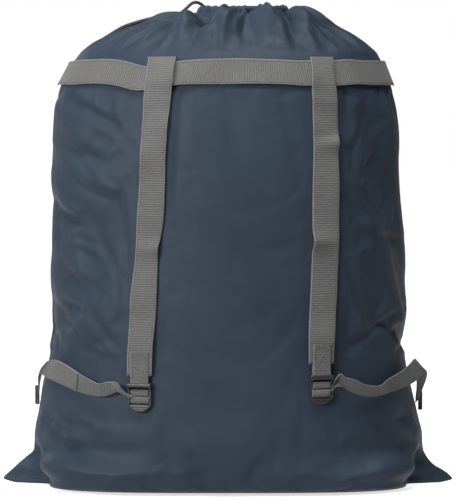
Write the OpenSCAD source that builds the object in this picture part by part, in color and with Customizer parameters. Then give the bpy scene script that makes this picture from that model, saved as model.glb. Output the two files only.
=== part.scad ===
/* [Bag] */
// wall thickness of the fabric shells
wall = 2.4; // [2.0:0.1:3.0]
// columns of facets round each panel
panel_cols = 36; // [24:2:48]

/* [Mouth] */
// radius of the gathered mouth at the middle of its hem
mouth_r = 57; // [55:1:59]
// outside radius of the hem tube
hem_r = 8; // [7.8:0.1:8]
// wall of the hem tube
hem_wall = 1.2; // [1.0:0.1:1.4]

/* [Webbing] */
// thickness of the webbing
web_t = 1.6; // [1.2:0.1:1.8]
// width of the narrow webbing
narrow_w = 25; // [22:1:25]
// thickness of the narrow webbing
narrow_t = 1.4; // [1.2:0.1:1.4]

/* [Buckles] */
// outside width of a ladder-lock buckle
buckle_w = 33; // [32:0.5:34]
// thickness of its side rails
rail_t = 3.8; // [3.4:0.2:4]

/* [Drawstring] */
// cord diameter
cord_d = 4.5; // [4:0.1:4.6]
// barrel radius of the cord lock
lock_r = 9.5; // [9.2:0.1:9.8]

/* [Hidden] */
$fn = 64;
// one row per level up the bag: height, middle in x, half width, half depth, roundness
rows = [
    [0, 0, 286, 0, 2], [0, 0, 300, 134, 1.9], [8, 0, 317, 147, 1.6],
    [26, 0, 297, 153, 1.7], [52, 0, 278, 156, 1.95], [86, 0, 271, 158, 2.15],
    [136, 0, 258, 158, 2.25], [186, 0, 248, 157, 2.25], [286, 0, 247, 155, 2.25],
    [386, 2, 246, 152, 2.25], [466, 4, 243, 148, 2.25], [526, 6, 237, 141, 2.2],
    [557, 8, 230, 135, 2.2], [592, 10, 215, 121, 2.15], [616, 11, 192, 107, 2.1],
    [636, 12, 160, 92, 2.05], [648, 15, 125, 80, 2], [653, 18, 98, 73, 2],
    [654.4, 20, 80, 68, 2], [654.6, 22, 62, 62, 2]
];
nr = len(rows);
rows_z = [for (i = [1:nr - 1]) [rows[i][0] + i * 0.0001, rows[i]]];
mouth_x = 22;
mouth_z = 663;
exit_a = 130;
nc = panel_cols;

// cord lock: place, turn about the vertical and lean of the cords that carry it
lock_p = [-223.5, 81, 466];
lock_turn = 50;
lock_lean = 7.3;
lock_up = [sin(lock_turn) * sin(lock_lean), -cos(lock_turn) * sin(lock_lean), cos(lock_lean)];
lock_out = [-sin(lock_turn) * cos(lock_lean), cos(lock_turn) * cos(lock_lean), sin(lock_lean)];
function lock_line(k, s) = lock_p + k * lock_up + s * lock_out;

// routes of the two free tails of the drawstring, from the hem to their knots
tail_a = [
    [-18.5, 45, 663], [-25, 52.5, 663.5], [-31, 57, 667], [-38, 56.5, 673], [-45, 51, 675.5],
    [-52, 44, 673], [-59, 36, 666], [-68, 30, 659], [-80, 24, 656], [-95, 19, 654],
    [-112, 16, 650.5], [-130, 15, 645.5], [-148, 15, 639], [-165, 17, 629], [-180, 21, 619],
    [-193, 29, 604], [-204, 42, 586], [-212, 57, 564], [-217, 69, 544],
    lock_line(60, 2.45), lock_line(30, 2.45), lock_line(0, 2.45), lock_line(-30, 2.45),
    lock_line(-60, 2.45),
    [-233, 86, 391], [-232, 82, 371], [-229, 80, 348], [-228, 79, 324], [-228, 79, 300]
];
tail_b = [
    [-15, 48, 663], [-21.5, 55.7, 663], [-28, 62, 662.5], [-36, 63, 660], [-45, 57, 659],
    [-55, 48, 658.5], [-66, 40, 657.5], [-78, 32, 656.5], [-93, 27, 654], [-110, 24, 650.5],
    [-128, 22.5, 645.5], [-146, 23, 639], [-163, 25, 629], [-178, 29, 619], [-191, 38, 603],
    [-200, 49, 585], [-207, 60, 564], [-212, 69, 544],
    lock_line(60, -2.45), lock_line(30, -2.45), lock_line(0, -2.45), lock_line(-30, -2.45),
    lock_line(-60, -2.45),
    [-228, 83, 391], [-226, 82, 372], [-223, 84, 352], [-224, 87, 332]
];

// shoulder straps: height, left edge, right edge, lift off the bag
left_strap_rows = [
    [554, -115, -78, 4.4], [537, -114, -77, 2.4], [497, -116, -81, 1.6], [456, -118, -84, 1.6],
    [414, -120, -85, 1.6], [375, -123, -87, 1.6], [327, -125, -94, 1.6], [275, -131, -96, 1.6],
    [240, -133, -98, 2.2], [211, -135, -101, 5.2], [196, -136, -102, 5.7], [164, -137, -103, 4.6]
];
right_strap_rows = [
    [554, 111, 147, 4.4], [529, 114, 148, 2.2], [497, 114, 149, 1.6], [465, 115, 149, 1.6],
    [415, 114, 150, 1.6], [348, 114, 150, 1.6], [294, 112, 148, 1.6], [250, 110, 146, 2.2],
    [222, 109, 145, 5.2], [207, 109, 144, 5.5], [180, 109, 143, 4.8]
];

// lower straps: middle line and width
left_lower = [
    [[-137.5, -143, 143], 12], [[-146, -141, 145], 19], [[-158, -138, 146], narrow_w],
    [[-174, -132, 144], narrow_w], [[-192, -123, 147], narrow_w], [[-210, -109, 154], narrow_w],
    [[-230, -90, 161], narrow_w], [[-249, -66, 166], narrow_w], [[-262, -45, 164], narrow_w],
    [[-267.5, -30, 154], narrow_w], [[-267.5, -20, 141], 22], [[-266.5, -14, 128], 18]
];
right_lower = [
    [[144, -143, 154], 12], [[151, -141, 155], 19], [[163, -137, 151], narrow_w],
    [[179, -131, 145], narrow_w], [[198, -119, 141], narrow_w], [[215, -105, 145], narrow_w],
    [[234, -86, 154], narrow_w], [[251, -64, 162], narrow_w], [[265, -43, 160], narrow_w],
    [[271, -28, 147], narrow_w], [[270, -19, 132], 22], [[268.5, -13.5, 118], 18]
];
left_bar = [-118, 151.5];
right_bar = [125, 162];
bar_off = 4.8;
bar_r = 1.6;
loop_r = 1.9;

// ---- shape of the bag ----
function sgn_pow(v, p) = sign(v) * pow(abs(v), p);
function ring_pt(r, s) = [
    r[1] + r[2] * sgn_pow(sin(90 * s), 2 / r[4]),
    r[3] * pow(abs(cos(90 * s)), 2 / r[4]),
    r[0]
];
function slope_of(i) =
    let (p = rows[max(i - 1, 1)], q = rows[min(i + 1, nr - 1)])
    let (db = q[3] - p[3], dz = q[0] - p[0])
    [db, dz] / max(norm([db, dz]), 0.001);
// the same level moved in by w along the slope of the side
function row_in(i, w) =
    i == 0 ? [rows[0][0] + w, 0, rows[0][2] - w, 0, 2] :
    i == 1 ? [rows[1][0] + w, 0, rows[1][2] - w * 2.2, rows[1][3] - w * 0.4, 1.9] :
    i == 2 ? [rows[2][0] + w * 0.4, 0, rows[2][2] - w * 2.4, rows[2][3] - w, 1.6] :
    let (d = slope_of(i))
    [rows[i][0] + w * d[0], rows[i][1], rows[i][2] - w * d[1], rows[i][3] - w * d[1], rows[i][4]];

// level of the bag at height z, and depth of its side there
function level(z) = [for (k = [0:4]) lookup(z, [for (e = rows_z) [e[0], e[1][k]]])];
function side_y(x, z, off) =
    let (r = level(z), u = abs((x - r[1]) / (r[2] + off)))
    (r[3] + off) * pow(max(1 - pow(u, r[4]), 0), 1 / r[4]);
function side_turn(x, z) = atan((side_y(x + 1, z, 0) - side_y(x - 1, z, 0)) / 2);
function on_side(x, z, off) = [x, -side_y(x, z, off), z];
function on_ring(s, z, off) =
    let (r = level(z))
    let (p = ring_pt([z, r[1], r[2] + off, r[3] + off, r[4]], s))
    [p[0], -p[1], z];

// closed sheet between two grids of points of the same size
module slab(a, b) {
    n = len(a);
    m = len(a[0]);
    pts = concat([for (r = a) for (p = r) p], [for (r = b) for (p = r) p]);
    k = n * m;
    faces = concat(
        [for (i = [0:n - 2]) for (j = [0:m - 2])
            let (p = i * m + j, q = p + 1, r = p + m, t = p + m + 1)
            for (f = 2 * j < m - 1 ?
                [[p, q, t], [p, t, r], [k + p, k + t, k + q], [k + p, k + r, k + t]] :
                [[p, q, r], [q, t, r], [k + p, k + r, k + q], [k + q, k + r, k + t]]) f],
        [for (i = [0:n - 2]) for (f = [
            [i * m, (i + 1) * m, k + (i + 1) * m], [i * m, k + (i + 1) * m, k + i * m],
            [i * m + m - 1, k + (i + 1) * m + m - 1, (i + 1) * m + m - 1],
            [i * m + m - 1, k + i * m + m - 1, k + (i + 1) * m + m - 1]]) f],
        [for (j = [0:m - 2]) for (f = [
            [j, k + j + 1, j + 1], [j, k + j, k + j + 1],
            [(n - 1) * m + j, (n - 1) * m + j + 1, k + (n - 1) * m + j + 1],
            [(n - 1) * m + j, k + (n - 1) * m + j + 1, k + (n - 1) * m + j]]) f]
    );
    polyhedron(points = pts, faces = faces, convexity = 10);
}

// one panel, on the +Y side
module panel() {
    outer = [for (i = [0:nr - 1]) [for (j = [0:nc]) ring_pt(rows[i], -1 + 2 * j / nc)]];
    inner = [for (i = [0:nr - 1]) [for (j = [0:nc]) ring_pt(row_in(i, wall), -1 + 2 * j / nc)]];
    translate([0, 0.15, 0]) slab(inner, outer);
}

module strap_side_panel() {
    color([0.06, 0.09, 0.13]) mirror([0, 1, 0]) panel();
}

module far_side_panel() {
    color([0.06, 0.09, 0.13]) panel();
}

// ---- mouth hem, drawstring and eyelet ----
module ring_tube(r_out, r_in) {
    rotate_extrude() translate([mouth_r, 0]) difference() {
        circle(r = r_out);
        if (r_in > 0) circle(r = r_in);
    }
}

module mouth_hem() {
    color([0.06, 0.09, 0.13]) translate([mouth_x, 0, mouth_z]) difference() {
        ring_tube(hem_r, hem_r - hem_wall);
        rotate([0, 0, exit_a]) translate([mouth_r, 0, 0]) rotate([0, 90, 0]) cylinder(r = 6.1, h = 20);
    }
}

module drawstring_in_hem() {
    color([0.03, 0.03, 0.03]) translate([mouth_x, 0, mouth_z]) ring_tube(cord_d / 2, 0);
}

module hem_eyelet() {
    color([0.05, 0.05, 0.05]) translate([mouth_x, 0, mouth_z]) rotate([0, 0, exit_a])
        translate([mouth_r + 5.2, 0, 0]) rotate([0, 90, 0]) difference() {
            union() {
                cylinder(r = 5.9, h = 4.2);
                translate([0, 0, 3.1]) cylinder(r = 7.3, h = 1.1);
            }
            translate([0, 0, -1]) cylinder(r = 5.1, h = 8);
        }
}

// ---- cords ----
function cr(p, t) =
    let (n = len(p) - 1, i = min(floor(t), n - 1), f = t - i)
    let (a = p[max(i - 1, 0)], b = p[i], c = p[i + 1], d = p[min(i + 2, n)])
    0.5 * (2 * b + (c - a) * f + (2 * a - 5 * b + 4 * c - d) * f * f + (3 * b - a - 3 * c + d) * f * f * f);
function unit(v) = v / norm(v);
function swept_rings(pts, r, sides) =
    let (n = len(pts))
    let (tg = [for (i = [0:n - 1]) unit(pts[min(i + 1, n - 1)] - pts[max(i - 1, 0)])])
    [for (i = [0:n - 1])
        let (e1 = unit(cross(tg[i], [0.6, 0.8, 0])), e2 = cross(tg[i], e1))
        [for (j = [0:sides - 1]) pts[i] + r * (cos(360 * j / sides) * e1 + sin(360 * j / sides) * e2)]];
module swept(pts, r, sides) {
    g = swept_rings(pts, r, sides);
    n = len(g);
    faces = concat(
        [for (i = [0:n - 2]) for (j = [0:sides - 1]) for (f = [
            [i * sides + j, i * sides + (j + 1) % sides, (i + 1) * sides + (j + 1) % sides],
            [i * sides + j, (i + 1) * sides + (j + 1) % sides, (i + 1) * sides + j]]) f],
        [[for (j = [sides - 1:-1:0]) j]],
        [[for (j = [0:sides - 1]) (n - 1) * sides + j]]
    );
    polyhedron(points = [for (q = g) for (p = q) p], faces = faces, convexity = 8);
}
module tail(route, rings) {
    n = len(route) - 1;
    color([0.03, 0.03, 0.03])
        swept([for (k = [0:rings]) cr(route, n * k / rings)], cord_d / 2, 8);
}

module drawstring_tail_left() {
    tail(tail_a, 74);
}

module drawstring_tail_right() {
    tail(tail_b, 70);
}

module knot_at(p) {
    color([0.03, 0.03, 0.03]) translate(p) {
        translate([0, 0, -6.2]) sphere(r = 5.6);
        translate([0, 0, -19]) cylinder(r = cord_d / 2, h = 9);
    }
}

module tail_knot_left() {
    knot_at(tail_a[len(tail_a) - 1] - [0, 0, 0.3]);
}

module tail_knot_right() {
    knot_at(tail_b[len(tail_b) - 1] - [0, 0, 0.3]);
}

// ---- cord lock, drawn with its button along -X and the cords along Z ----
module at_lock() {
    translate(lock_p) rotate([0, 0, lock_turn]) rotate([lock_lean, 0, 0]) children();
}

module cord_lock_barrel() {
    color([0.04, 0.04, 0.04]) at_lock() difference() {
        translate([-7, 0, 0]) rotate([0, 90, 0]) cylinder(r = lock_r, h = 22);
        translate([-8, 0, 0]) rotate([0, 90, 0]) cylinder(r = 7.2, h = 21.5);
        translate([-2.6, -5, -20]) cube([5.2, 10, 40]);
    }
}

module cord_lock_plunger() {
    color([0.05, 0.05, 0.05]) at_lock() difference() {
        union() {
            translate([-13, 0, 0]) rotate([0, 90, 0]) cylinder(r = 6.9, h = 21);
            translate([-14.5, 0, 0]) rotate([0, 90, 0]) cylinder(r = 5.6, h = 3);
        }
        translate([3.9, 0, 0]) rotate([0, 90, 0]) cylinder(r = 4.3, h = 8);
        translate([-7.6, -5, -20]) cube([10, 10, 40]);
    }
}

module cord_lock_spring() {
    turns = 5;
    steps = 72;
    pts = [for (k = [0:steps]) let (a = 360 * turns * k / steps)
        [4.6 + 8.2 * k / steps, 3.4 * cos(a), 3.4 * sin(a)]];
    n = len(pts);
    sides = 6;
    g = [for (i = [0:n - 1]) let (a = 360 * turns * i / steps)
        let (e1 = [0, cos(a), sin(a)], e2 = [1, 0, 0])
        [for (j = [0:sides - 1]) pts[i] + 0.45 * (cos(60 * j) * e1 + sin(60 * j) * e2)]];
    faces = concat(
        [for (i = [0:n - 2]) for (j = [0:sides - 1]) for (f = [
            [i * sides + j, (i + 1) * sides + (j + 1) % sides, i * sides + (j + 1) % sides],
            [i * sides + j, (i + 1) * sides + j, (i + 1) * sides + (j + 1) % sides]]) f],
        [[for (j = [0:sides - 1]) j]],
        [[for (j = [sides - 1:-1:0]) (n - 1) * sides + j]]
    );
    color([0.6, 0.6, 0.6]) at_lock()
        polyhedron(points = [for (q = g) for (p = q) p], faces = faces, convexity = 8);
}

// ---- webbing ----
module upper_band() {
    zs = [555.5, 567.5, 580, 592];
    inner = [for (i = [0:44]) [for (z = zs) on_ring(-0.93 + 1.86 * i / 44, z, 2.4)]];
    outer = [for (i = [0:44]) [for (z = zs) on_ring(-0.93 + 1.86 * i / 44, z, 2.4 + web_t)]];
    color([0.4, 0.4, 0.39]) slab(outer, inner);
}

// sewn top of a strap: up the front of the band, over its edge and down behind it
module strap_head(xl, xr) {
    cols = 4;
    prof_in = [[555.2, 4.4], [574, 4.4], [592.4, 4.4], [592.9, 3.2], [592.4, 2.2], [574, 2.2]];
    prof_out = [
        [555.2, 4.4 + web_t], [574, 4.4 + web_t], [593.6, 4.4 + web_t], [595, 3.2],
        [593.6, 0.9], [574, 0.9]
    ];
    a = [for (p = prof_in) [for (j = [0:cols]) on_side(xl + (xr - xl) * j / cols, p[0], p[1])]];
    b = [for (p = prof_out) [for (j = [0:cols]) on_side(xl + (xr - xl) * j / cols, p[0], p[1])]];
    color([0.42, 0.42, 0.41]) slab(a, b);
}

module left_strap_head() {
    strap_head(-113, -76);
}

module right_strap_head() {
    strap_head(110, 147);
}

module shoulder_strap(st) {
    cols = 4;
    a = [for (r = st) [for (j = [0:cols]) on_side(r[1] + (r[2] - r[1]) * j / cols, r[0], r[3])]];
    b = [for (r = st) [for (j = [0:cols]) on_side(r[1] + (r[2] - r[1]) * j / cols, r[0], r[3] + web_t)]];
    color([0.42, 0.42, 0.41]) slab(b, a);
}

module left_shoulder_strap() {
    shoulder_strap(left_strap_rows);
}

module right_shoulder_strap() {
    shoulder_strap(right_strap_rows);
}

// flat webbing along a line, its width upright
module lower_strap(rt) {
    n = len(rt);
    up = [0, 0, 1];
    nm = [for (i = [0:n - 1])
        let (t = rt[min(i + 1, n - 1)][0] - rt[max(i - 1, 0)][0])
        unit(cross([t[0], t[1], 0], up))];
    a = [for (i = [0:n - 1]) [for (s = [-0.5, 0.5])
        rt[i][0] + s * rt[i][1] * up + nm[i] * narrow_t / 2]];
    b = [for (i = [0:n - 1]) [for (s = [-0.5, 0.5])
        rt[i][0] + s * rt[i][1] * up - nm[i] * narrow_t / 2]];
    color([0.42, 0.42, 0.41]) slab(a, b);
}

module left_lower_strap() {
    lower_strap(left_lower);
}

module right_lower_strap() {
    mirror([1, 0, 0]) lower_strap([for (r = right_lower) [[-r[0][0], r[0][1], r[0][2]], r[1]]]);
}

module left_side_tab() {
    color([0.1, 0.11, 0.12]) translate([-269, -9, 110]) cube([4.6, 8, 20]);
}

module right_side_tab() {
    color([0.1, 0.11, 0.12]) translate([266.8, -9, 102]) cube([4.6, 8, 20]);
}

// ---- buckles, drawn with the loop bar along X at the origin and the front towards -Y ----
module at_bar(bar) {
    turn = -side_turn(bar[0], bar[1]);
    translate([bar[0], -side_y(bar[0], bar[1], 0), bar[1]])
        rotate([0, 0, turn]) translate([0, -bar_off, 0]) children();
}

module strap_loop(bar, up_front, up_back) {
    color([0.42, 0.42, 0.41]) at_bar(bar) rotate([90, 0, 90])
        translate([0, 0, -narrow_w / 2]) linear_extrude(narrow_w) {
            difference() {
                circle(r = loop_r + narrow_t);
                circle(r = loop_r);
                translate([-10, 0]) square([20, 10]);
            }
            translate([-loop_r - narrow_t, -0.01]) square([narrow_t, up_front]);
            translate([loop_r, -0.01]) square([narrow_t, up_back]);
        }
}

module left_strap_loop() {
    strap_loop(left_bar, 44, 44);
}

module right_strap_loop() {
    strap_loop(right_bar, 45, 45);
}

module ladder_lock(bar) {
    hw = buckle_w / 2;
    color([0.03, 0.03, 0.03]) at_bar(bar) union() {
        translate([-hw + 1, 0, 0]) rotate([0, 90, 0]) cylinder(r = bar_r, h = buckle_w - 2);
        for (s = [-1, 1]) translate([s * (hw - 1.55) - 1.55, -rail_t / 2, -27.4])
            cube([3.1, rail_t, 30]);
        translate([-hw + 1, -1.3, -12.5]) cube([buckle_w - 2, 2.6, 4]);
        translate([-hw + 1, -1.3, -24]) cube([buckle_w - 2, 2.6, 4]);
        intersection() {
            translate([0, 1.3, -19]) rotate([90, 0, 0]) cylinder(r = 18, h = 2.6);
            translate([-hw, -1.3, -38]) cube([buckle_w, 2.6, 11.2]);
        }
    }
}

module left_buckle() {
    ladder_lock(left_bar);
}

module right_buckle() {
    ladder_lock(right_bar);
}

// webbing threaded round the two lower bars
module webbing_wrap(bar) {
    t = 1.3;
    color([0.42, 0.42, 0.41]) at_bar(bar) rotate([90, 0, 90])
        translate([0, 0, -narrow_w / 2]) linear_extrude(narrow_w) {
            translate([1.6, -11.6]) square([t, 4.7]);
            translate([-2.9, -8.2]) square([5.8, t]);
            translate([-2.9, -15.4]) square([t, 8.5]);
            translate([-2.9, -15.4]) square([5.8, t]);
            translate([1.6, -25.6]) square([t, 11.5]);
            translate([-2.9, -25.6]) square([5.8, t]);
            translate([-2.9, -25.6]) square([t, 8.6]);
        }
}

module left_webbing_wrap() {
    webbing_wrap(left_bar);
}

module right_webbing_wrap() {
    webbing_wrap(right_bar);
}

strap_side_panel();
far_side_panel();
mouth_hem();
drawstring_in_hem();
hem_eyelet();
drawstring_tail_left();
drawstring_tail_right();
tail_knot_left();
tail_knot_right();
cord_lock_barrel();
cord_lock_plunger();
cord_lock_spring();
upper_band();
left_strap_head();
right_strap_head();
left_shoulder_strap();
right_shoulder_strap();
left_strap_loop();
right_strap_loop();
left_buckle();
right_buckle();
left_webbing_wrap();
right_webbing_wrap();
left_lower_strap();
right_lower_strap();
left_side_tab();
right_side_tab();
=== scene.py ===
import bpy
import bmesh
import math
import numpy as np
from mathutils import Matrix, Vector


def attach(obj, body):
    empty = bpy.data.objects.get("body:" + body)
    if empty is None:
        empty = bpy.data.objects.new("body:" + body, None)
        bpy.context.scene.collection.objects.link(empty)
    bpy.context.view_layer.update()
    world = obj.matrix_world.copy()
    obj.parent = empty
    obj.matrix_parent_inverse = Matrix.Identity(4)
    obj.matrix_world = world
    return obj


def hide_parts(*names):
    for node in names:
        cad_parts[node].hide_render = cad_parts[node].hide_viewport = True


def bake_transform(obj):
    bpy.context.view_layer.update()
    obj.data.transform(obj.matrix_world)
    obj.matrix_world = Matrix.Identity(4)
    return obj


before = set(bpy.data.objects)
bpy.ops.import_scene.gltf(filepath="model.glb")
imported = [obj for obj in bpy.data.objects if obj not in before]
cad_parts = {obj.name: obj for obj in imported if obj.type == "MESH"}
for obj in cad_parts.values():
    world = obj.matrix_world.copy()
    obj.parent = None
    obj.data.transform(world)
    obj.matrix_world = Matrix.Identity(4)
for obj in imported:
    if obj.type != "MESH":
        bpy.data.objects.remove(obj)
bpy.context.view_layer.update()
scene = bpy.context.scene
MM = 0.001

# ------------------------------------------------------------------ camera
cam_data = bpy.data.cameras.new("camera")
cam = bpy.data.objects.new("camera", cam_data)
scene.collection.objects.link(cam)
cam.location = (0.0, -4.0, 0.5)
aim = Vector((0.0, 0.0, 0.3275))
cam.rotation_euler = (aim - cam.location).to_track_quat("-Z", "Y").to_euler()
cam_data.sensor_fit = "HORIZONTAL"
cam_data.sensor_width = 36.0
cam_data.lens = 36.0 * (aim - cam.location).length / (456 * 1.40 * MM)
cam_data.clip_end = 50
scene.camera = cam


# ------------------------------------------------------------------ small helpers
def unit(v):
    v = np.asarray(v, float)
    return v / np.maximum(np.linalg.norm(v, axis=-1, keepdims=True), 1e-12)


def smooth(a, b, x):
    t = np.clip((np.asarray(x, float) - a) / (b - a), 0, 1)
    return t * t * (3 - 2 * t)


def bump(x, middle, half):
    """Soft bell, 1 in the middle."""
    return np.exp(-((x - middle) / half) ** 2)


def pchip(xs, ys, x):
    """Smooth interpolation that doesn't overshoot."""
    xs, ys, x = np.asarray(xs, float), np.asarray(ys, float), np.asarray(x, float)
    h = np.diff(xs)
    d = np.diff(ys) / h
    m = np.zeros_like(ys)
    same = d[:-1] * d[1:] > 0
    w1, w2 = 2 * h[1:] + h[:-1], h[1:] + 2 * h[:-1]
    safe = np.where(same, d[:-1] * d[1:], 1)
    m[1:-1] = np.where(same, (w1 + w2) * safe / np.where(same, w1 * d[1:] + w2 * d[:-1], 1), 0)
    m[0], m[-1] = d[0], d[-1]
    i = np.clip(np.searchsorted(xs, x) - 1, 0, len(h) - 1)
    t = np.clip((x - xs[i]) / h[i], 0, 1)
    return ((2 * t**3 - 3 * t**2 + 1) * ys[i] + (t**3 - 2 * t**2 + t) * h[i] * m[i]
            + (3 * t**2 - 2 * t**3) * ys[i + 1] + (t**3 - t**2) * h[i] * m[i + 1])


def spline(points, step):
    """Catmull-Rom line through the points, at even steps of about the given length."""
    p = np.asarray(points, float)
    q = np.vstack([2 * p[0] - p[1], p, 2 * p[-1] - p[-2]])
    out = []
    for i in range(1, len(q) - 2):
        a, b, c, d = q[i - 1], q[i], q[i + 1], q[i + 2]
        for t in np.linspace(0, 1, 24, endpoint=False):
            out.append(0.5 * (2 * b + (c - a) * t + (2 * a - 5 * b + 4 * c - d) * t * t
                              + (3 * b - a - 3 * c + d) * t**3))
    out = np.array(out + [p[-1]])
    s = np.r_[0, np.cumsum(np.linalg.norm(np.diff(out[:, :3], axis=0), axis=1))]
    n = max(2, int(round(s[-1] / step)))
    e = np.linspace(0, s[-1], n + 1)
    return np.stack([np.interp(e, s, out[:, k]) for k in range(p.shape[1])], axis=1)


def value_noise(p, seed, cell):
    """Smooth noise from -1 to 1 at points p, with features about one cell wide."""
    r = np.random.RandomState(seed)
    g = r.uniform(-1, 1, (24, 24, 24))
    q = np.asarray(p, float) / cell + 7.3
    i = np.floor(q).astype(int)
    f = q - i
    f = f * f * (3 - 2 * f)
    v = 0
    for dx in (0, 1):
        for dy in (0, 1):
            for dz in (0, 1):
                w = (np.where(dx, f[..., 0], 1 - f[..., 0]) * np.where(dy, f[..., 1], 1 - f[..., 1])
                     * np.where(dz, f[..., 2], 1 - f[..., 2]))
                v = v + w * g[(i[..., 0] + dx) % 24, (i[..., 1] + dy) % 24, (i[..., 2] + dz) % 24]
    return v


def make_mesh(name, verts, faces, uv=None, material=None, smooth_shade=True):
    me = bpy.data.meshes.new(name)
    me.from_pydata([tuple(float(c) for c in v) for v in verts], [], faces)
    me.validate()
    if uv is not None:
        layer = me.uv_layers.new(name="UVMap")
        idx = np.zeros(len(me.loops), int)
        me.loops.foreach_get("vertex_index", idx)
        layer.data.foreach_set("uv", np.asarray(uv, np.float32)[idx].ravel())
    if smooth_shade:
        me.polygons.foreach_set("use_smooth", [True] * len(me.polygons))
    ob = bpy.data.objects.new(name, me)
    scene.collection.objects.link(ob)
    if material:
        me.materials.append(material)
    return ob


def outward(ob):
    """Turn every face to the outside."""
    bm = bmesh.new()
    bm.from_mesh(ob.data)
    bmesh.ops.recalc_face_normals(bm, faces=bm.faces)
    bm.to_mesh(ob.data)
    bm.free()


def apply_modifiers(ob):
    dg = bpy.context.evaluated_depsgraph_get()
    me = bpy.data.meshes.new_from_object(ob.evaluated_get(dg))
    ob.modifiers.clear()
    ob.data = me


# ------------------------------------------------------------------ materials
WAVE_MM = 6283      # radians per metre for a wave 1 mm long
BRAID = 6.2832 * 8  # eight turns of the braid round the cord


def new_material(name):
    m = bpy.data.materials.new(name)
    m.use_nodes = True
    nt = m.node_tree
    nt.nodes.clear()
    out = nt.nodes.new("ShaderNodeOutputMaterial")
    bsdf = nt.nodes.new("ShaderNodeBsdfPrincipled")
    nt.links.new(bsdf.outputs[0], out.inputs[0])
    return m, nt, bsdf


def set_inputs(node, **values):
    for key, value in values.items():
        node.inputs[key.replace("_", " ")].default_value = value


class Graph:
    def __init__(self, nt):
        self.nt = nt

    def put(self, kind, **k):
        n = self.nt.nodes.new(kind)
        for a, b in k.items():
            setattr(n, a, b)
        return n

    def link(self, a, b):
        self.nt.links.new(a, b)

    def math(self, op, a, b=None, c=None):
        n = self.put("ShaderNodeMath", operation=op)
        for i, v in enumerate((a, b, c)):
            if v is None:
                continue
            if isinstance(v, (int, float)):
                n.inputs[i].default_value = v
            else:
                self.link(v, n.inputs[i])
        return n.outputs[0]

    def noise(self, coord, scale, detail=3.0, rough=0.5):
        n = self.put("ShaderNodeTexNoise")
        set_inputs(n, Scale=scale, Detail=detail, Roughness=rough)
        self.link(coord, n.inputs["Vector"])
        return n.outputs["Fac"]

    def ramp(self, fac, stops):
        n = self.put("ShaderNodeValToRGB")
        r = n.color_ramp
        while len(r.elements) < len(stops):
            r.elements.new(0.5)
        for e, (p, c) in zip(r.elements, stops):
            e.position = p
            e.color = (*c, 1) if len(c) == 3 else c
        self.link(fac, n.inputs[0])
        return n.outputs[0]

    def bump(self, height, strength, distance, normal=None):
        n = self.put("ShaderNodeBump")
        set_inputs(n, Strength=strength, Distance=distance)
        self.link(height, n.inputs["Height"])
        if normal is not None:
            self.link(normal, n.inputs["Normal"])
        return n.outputs[0]

    def uv(self):
        return self.put("ShaderNodeTexCoord").outputs["UV"]

    def obj(self):
        return self.put("ShaderNodeTexCoord").outputs["Object"]

    def xyz(self, v):
        n = self.put("ShaderNodeSeparateXYZ")
        self.link(v, n.inputs[0])
        return n.outputs[0], n.outputs[1], n.outputs[2]


def fabric_material(name, dark, light, rough=0.52):
    """Thin coated taffeta: plain weave, faint slubs, fine crumple, satin sheen. UV is in metres."""
    m, nt, b = new_material(name)
    g = Graph(nt)
    uv, ob = g.uv(), g.obj()
    x, y, _ = g.xyz(uv)
    big = g.noise(ob, 7, 3, 0.55)
    g.link(g.ramp(big, [(0.3, dark), (0.72, light)]), b.inputs["Base Color"])
    warp = g.math("SINE", g.math("MULTIPLY", x, WAVE_MM / 0.9))
    weft = g.math("SINE", g.math("MULTIPLY", y, WAVE_MM / 0.9))
    weave = g.math("MULTIPLY", warp, weft)
    slub = g.noise(uv, 900, 2, 0.6)
    crumple = g.noise(ob, 38, 5, 0.6)
    n1 = g.bump(weave, 0.10, 0.0002)
    n2 = g.bump(slub, 0.10, 0.0003, n1)
    n3 = g.bump(crumple, 0.32, 0.0035, n2)
    g.link(n3, b.inputs["Normal"])
    g.link(g.math("MULTIPLY_ADD", g.noise(ob, 22, 3), 0.16, rough - 0.08), b.inputs["Roughness"])
    set_inputs(b, Specular_IOR_Level=0.5, IOR=1.18, Sheen_Weight=0.02, Sheen_Roughness=0.5,
               Sheen_Tint=(0.7, 0.8, 0.95, 1))
    return m


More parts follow.
